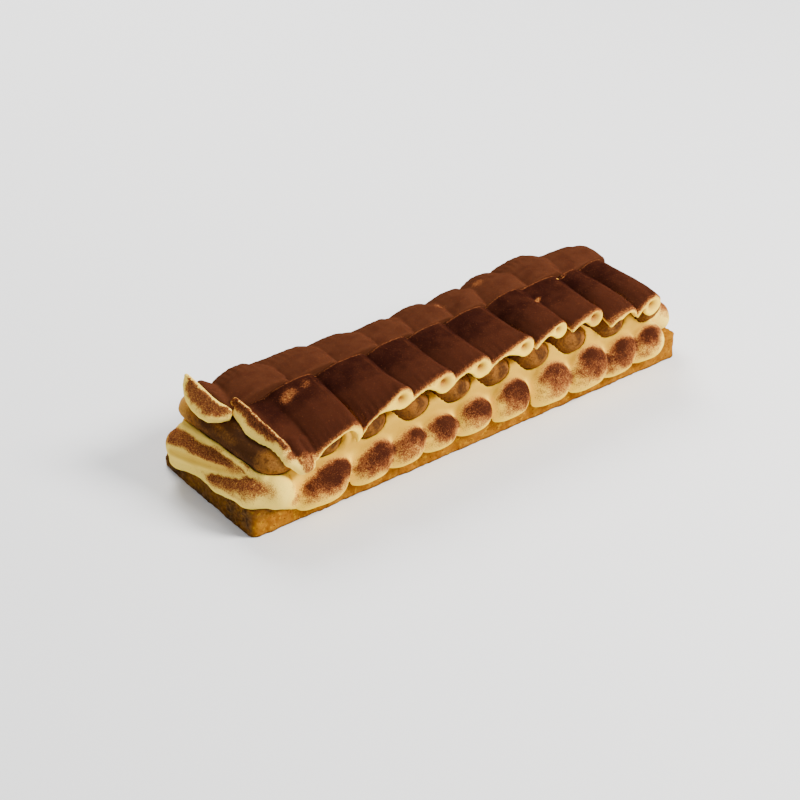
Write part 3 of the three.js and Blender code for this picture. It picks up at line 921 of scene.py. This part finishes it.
def row_shade(points, row):
    """Painted shade on the cream: most in the pits at a row's edge."""
    shade = np.zeros(len(points))
    for _, radius, mouth, inner in hollows(row):
        off_pit = off_line(points, mouth, inner)
        rim, hollow = (close(off_pit, radius, PIT_SHADE[part]) for part in ("rim", "hollow"))
        shade = np.maximum(shade, rim + hollow)
    return shade


def row_depth(points, row):
    """Thicker cocoa and painted shade: darkest at the start of each tile, towards the crease."""
    share = np.clip(row["outward"] * points[:, 1] / ROW_TONE["reach"], 0, 1)
    inner = 1 - ease(share, *ROW_TONE["towards_edge"])
    depth = np.zeros(len(points))
    before = {key: place - ROW_TONE["before"] for key, place in row["start"].items()}
    for fold in row["folds"]:
        first = mix(before["crease"], before["edge"], share)
        last = mix(fold["crease"], fold["edge"], share)
        along = (points[:, 0] - first) / (last - first)
        here = (along > 0) & (along <= 1)
        tile = 1 - ROW_TONE["fades_by"] * ease(along, *ROW_TONE["fades"])
        depth[here] = (ease(along, *ROW_TONE["starts"]) * tile * inner)[here]
        before = fold
    # Close to the crease the darkening stops: a lighter line there is a painted highlight
    return row["tone"] + row["dark"] * depth * ease(share, *ROW_TONE["off_crease"])


# Materials
def colour(red, green, blue):
    """Scene colour of a colour given in display values."""
    shares = [v / 255 for v in (red, green, blue)]
    return [((v + 0.055) / 1.055) ** 2.4 if v > 0.04045 else v / 12.92 for v in shares] + [1]


class Shader:
    """A Principled material with short calls to add nodes."""

    def __init__(self, name, **constants):
        self.material = bpy.data.materials.new(name)
        self.material.use_nodes = True
        self.tree = self.material.node_tree
        self.surface = self.tree.nodes["Principled BSDF"]
        for socket, value in constants.items():
            self.surface.inputs[socket.replace("_", " ")].default_value = value
        self.place = self.tree.nodes.new("ShaderNodeTexCoord").outputs["Object"]

    def feed(self, socket, source):
        self.tree.links.new(source, self.surface.inputs[socket])

    def node(self, kind, inputs, **settings):
        """Adds a node. Each of its inputs, by name or number, gets a constant or another node's output."""
        node = self.tree.nodes.new("ShaderNode" + kind)
        for key, value in settings.items():
            setattr(node, key, value)
        for socket, value in inputs.items():
            if isinstance(value, bpy.types.NodeSocket):
                self.tree.links.new(value, node.inputs[socket])
            else:
                node.inputs[socket].default_value = value
        return node.outputs

    def attribute(self, name):
        return self.node("Attribute", {}, attribute_name=name)["Fac"]

    def noise(self, size, detail=2.0, roughness=0.5):
        """Noise from 0 to 1 whose features are about the given size in millimetres."""
        inputs = {"Vector": self.place, "Scale": 1 / (size * MM), "Detail": detail, "Roughness": roughness}
        return self.node("TexNoise", inputs)["Fac"]

    def math(self, operation, a, b):
        return self.node("Math", {0: a, 1: b}, operation=operation)[0]

    def ramp(self, value, low, high, to_low=0.0, to_high=1.0):
        inputs = dict(enumerate((value, low, high, to_low, to_high)))
        return self.node("MapRange", inputs, interpolation_type="SMOOTHSTEP")["Result"]

    def blend(self, share, a, b):
        return self.node("Mix", {0: share, 6: a, 7: b}, data_type="RGBA")[2]

    def bump(self, height, distance, strength):
        inputs = {"Height": height, "Distance": distance * MM, "Strength": strength}
        self.feed("Normal", self.node("Bump", inputs)["Normal"])


CREAM = colour(254, 212, 66)
CREAM_WARM = colour(252, 205, 60)
# A paler, greyer copy of the cream for the shaded ends: painted shade
CREAM_PALE = colour(240, 206, 88)
# The cream in painted shade, and the darker painted shadow deep in the pits
CREAM_PAINTED_SHADE = colour(185, 138, 36)
CREAM_PAINTED_HOLLOW_SHADOW = colour(132, 80, 28)
CREAM_VEILED = colour(206, 147, 62)
COCOA_THIN = colour(134, 76, 41)
# Cocoa tones; the darker ones are thicker cocoa and also painted shade at the rows' tile starts
COCOA = colour(71, 38, 23)
COCOA_RED = colour(58, 28, 17)
COCOA_DARK = colour(34, 13, 9)
CRUST = colour(118, 75, 32)
CRUST_LIGHT = colour(132, 83, 31)
CRUST_SPECK = colour(66, 38, 14)
CRUST_SMUDGE = colour(80, 46, 18)
CRUST_DRY = colour(182, 130, 54)
CRUST_SOAKED_AND_SHADED = colour(63, 36, 17)
GOLD = colour(125, 72, 8)
GOLD_LIGHT = colour(150, 97, 13)
GOLD_LIT = colour(174, 122, 8)
GOLD_DARK = colour(94, 51, 11)
WET_AND_SHADED_DARK = colour(48, 30, 15)
WET_AND_SHADED_LIGHT = colour(92, 63, 33)
FLOOR_PALE = colour(240, 241, 243)

# How much cocoa lies between a first veil and a full one, where it is thin, and where it covers the cream
VEIL = (0.02, 0.5)
THIN = (0.14, 0.55)
COVER = (0.42, 0.86)


def dusted_cream(name):
    """Cream with cocoa on it: a veil, then thin cocoa, then a full cover, with grains where it thins out."""
    made = Shader(name, Subsurface_Weight=0.15, Subsurface_Scale=0.003, Specular_IOR_Level=0)
    made.surface.inputs["Subsurface Radius"].default_value = (1.0, 0.6, 0.3)
    amount = made.attribute("cocoa")
    grains = made.math("ADD", made.noise(0.45, detail=1), made.math("MULTIPLY", made.noise(1.1), 0.5))
    level = made.math("ADD", amount, made.math("MULTIPLY", made.math("SUBTRACT", grains, 0.75), 1.05))
    fresh = made.blend(made.noise(14), CREAM, CREAM_WARM)
    # Pale cream at the ends: painted shade, a copy of the cream for their shaded faces
    with_shaded_ends = made.blend(made.attribute("pale"), fresh, CREAM_PALE)
    # Painted shade in the clefts, the crease and around the pits, and painted shadow deep in the pits
    shade = made.attribute("shade")
    cream = made.blend(made.ramp(shade, 1, 2), made.blend(shade, with_shaded_ends, CREAM_PAINTED_SHADE), CREAM_PAINTED_HOLLOW_SHADOW)
    veiled = made.blend(made.ramp(amount, *VEIL, to_high=0.8), cream, CREAM_VEILED)
    thin = made.blend(made.ramp(level, *THIN), veiled, COCOA_THIN)
    # Darker at the rows' tile starts (thicker cocoa, painted shade), lighter at the crease (painted
    # highlight)
    uneven = made.ramp(made.noise(9, detail=3), 0.3, 0.7, to_low=-0.1, to_high=0.1)
    depth = made.math("ADD", made.attribute("depth"), uneven)
    middling = made.blend(made.ramp(depth, 0, 0.4), COCOA, COCOA_RED)
    powder_and_shade = made.blend(made.ramp(depth, 0.4, 1), middling, COCOA_DARK)
    cover = made.ramp(level, *COVER)
    made.feed("Base Color", made.blend(cover, thin, powder_and_shade))
    made.feed("Roughness", made.ramp(cover, 0, 1, to_low=0.5, to_high=0.95))
    made.bump(made.math("MULTIPLY", made.noise(0.5), cover), distance=0.15, strength=0.3)
    return made.material


def biscuit():
    """A crust with specks and smudges: light where dry, dark where soaked and where shade is painted."""
    made = Shader("soaked_biscuit", Specular_IOR_Level=0.02, Roughness=0.7)
    crust = made.blend(made.ramp(made.noise(7, detail=4), 0.35, 0.7), CRUST, CRUST_LIGHT)
    smudges = made.ramp(made.noise(3.2, detail=4, roughness=0.6), 0.54, 0.66, to_high=0.8)
    specks = made.ramp(made.noise(0.8), 0.52, 0.68, to_high=0.55)
    smudged = made.blend(smudges, made.blend(specks, crust, CRUST_SPECK), CRUST_SMUDGE)
    mottle = made.math("MULTIPLY", made.math("SUBTRACT", made.noise(1.5, detail=3), 0.5), 0.9)
    soak = made.math("ADD", made.attribute("soak"), mottle)
    # The dark end of this blend is soaked crust and also painted shade on the ladyfingers
    dried = made.blend(made.ramp(soak, -0.1, -1.2), smudged, CRUST_DRY)
    made.feed("Base Color", made.blend(made.ramp(soak, 0.05, 0.95), dried, CRUST_SOAKED_AND_SHADED))
    made.bump(made.noise(1.1, detail=4), distance=0.4, strength=0.5)
    return made.material


def sponge():
    """A golden open crumb with lighter and darker spots, and a dark soaked one that also carries painted
    shade.
    """
    made = Shader("golden_sponge", Specular_IOR_Level=0.05, Roughness=0.9)
    gold = made.blend(made.ramp(made.noise(5, detail=4), 0.3, 0.7), GOLD, GOLD_LIGHT)
    lit = made.blend(made.ramp(made.noise(2.6, detail=3), 0.56, 0.7), gold, GOLD_LIT)
    crumb = made.blend(made.ramp(made.noise(1.6, detail=3), 0.6, 0.7), lit, GOLD_DARK)
    # These darker colours are for soaked crumb and for the painted shade along the bottom
    wet_and_shaded = made.blend(made.ramp(made.noise(2.4, detail=4), 0.35, 0.7), WET_AND_SHADED_DARK, WET_AND_SHADED_LIGHT)
    made.feed("Base Color", made.blend(made.attribute("soak"), crumb, wet_and_shaded))
    made.bump(made.noise(0.9, detail=4), distance=0.5, strength=0.6)
    return made.material


# Pieces
def add_piece(name, points, faces, material, slot, node, **attributes):
    """Makes a piece that stands for a solid. A face that names a corner twice becomes a triangle."""
    mesh = bpy.data.meshes.new(name)
    corners = [[i for n, i in enumerate(face) if i not in face[:n]] for face in faces.tolist()]
    mesh.from_pydata((points * MM).tolist(), [], corners)
    mesh.shade_smooth()
    mesh.materials.append(material)
    for key, values in attributes.items():
        mesh.attributes.new(key, "FLOAT", "POINT").data.foreach_set("value", values.astype(np.float32))
    piece = bpy.data.objects.new(name, mesh)
    bpy.context.scene.collection.objects.link(piece)
    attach(piece, "root")
    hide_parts(node)


def add_bed(points, faces, tops, cream):
    add_piece(
        "piped_cream", points, faces, cream, "cream", "cream_filling",
        cocoa=bed_cocoa(points, faces, tops), depth=np.full(len(points), BED_COCOA["tone"]),
        shade=bed_shade(points), pale=ease(np.abs(points[:, 0]), *BED_PALE),
    )


def add_row(name, node, row, points, faces, tops, cream):
    add_piece(
        name, points, faces, cream, "cocoa_cream", node,
        cocoa=row_cocoa(points, faces, tops, row), depth=row_depth(points, row),
        shade=row_shade(points, row), pale=ease(-points[:, 0], *ROW_PALE),
    )


def build():
    bed = bed_mesh()
    front = row_mesh(FRONT_ROW)
    back = row_mesh(BACK_ROW)
    seeds = itertools.count(FINGER_SEEDS["first"], FINGER_SEEDS["step"])
    fingers = [finger_mesh(finger, seed) for finger, seed in zip(FINGERS, seeds)]
    tops = height_map([points for points, _ in (bed, front, back, *fingers)])
    cream = dusted_cream("dusted_cream")
    add_bed(*bed, tops, cream)
    add_row("ruffle_near", "cream_ruffle_front", FRONT_ROW, *front, tops, cream)
    add_row("ruffle_far", "cream_ruffle_back", BACK_ROW, *back, tops, cream)
    crust = biscuit()
    for i, (node, finger, (points, faces)) in enumerate(zip(FINGER_NODES, FINGERS, fingers)):
        soak = tip_soak(points, finger) if i else flank_soak(points)
        add_piece(node.replace("ladyfinger", "biscuit"), points, faces, crust, "biscuit", node, soak=soak)
    points, faces = sponge_mesh()
    add_piece("sponge_slab", points, faces, sponge(), "sponge", "sponge_base", soak=sponge_soak(points))


# Stage
def add_floor():
    bpy.ops.mesh.primitive_plane_add(size=FLOOR_SIZE)
    floor = bpy.context.object
    floor.name = "floor"
    floor.data.materials.append(Shader("pale_floor", Base_Color=FLOOR_PALE, Roughness=0.7).material)


def add_light(name, place, size, power, tint):
    lamp = bpy.data.lights.new(name, "AREA")
    lamp.shape = "DISK"
    lamp.size = size
    lamp.energy = power
    lamp.color = tint
    holder = bpy.data.objects.new(name, lamp)
    holder.location = place
    holder.rotation_euler = (Vector(LIGHT_AIM) - Vector(place)).to_track_quat("-Z", "Y").to_euler()
    bpy.context.scene.collection.objects.link(holder)


def add_lights():
    world = bpy.data.worlds.new("studio")
    world.use_nodes = True
    background = world.node_tree.nodes["Background"]
    background.inputs["Color"].default_value = AMBIENT["tint"]
    background.inputs["Strength"].default_value = AMBIENT["strength"]
    bpy.context.scene.world = world
    for light in LIGHTS:
        add_light(**light)


def add_camera():
    azimuth, elevation = (math.radians(CAMERA[key]) for key in ("azimuth", "elevation"))
    level = math.cos(elevation)
    back = Vector((math.sin(azimuth) * level, -math.cos(azimuth) * level, math.sin(elevation)))
    lens = bpy.data.cameras.new("camera")
    lens.lens = CAMERA["lens"]
    lens.sensor_width = CAMERA["sensor"]
    holder = bpy.data.objects.new("camera", lens)
    holder.location = (Vector(CAMERA["target"]) + back * CAMERA["distance"]) * MM
    holder.rotation_euler = (-back).to_track_quat("-Z", "Y").to_euler()
    bpy.context.scene.collection.objects.link(holder)
    bpy.context.scene.camera = holder


build()
add_floor()
add_lights()
add_camera()
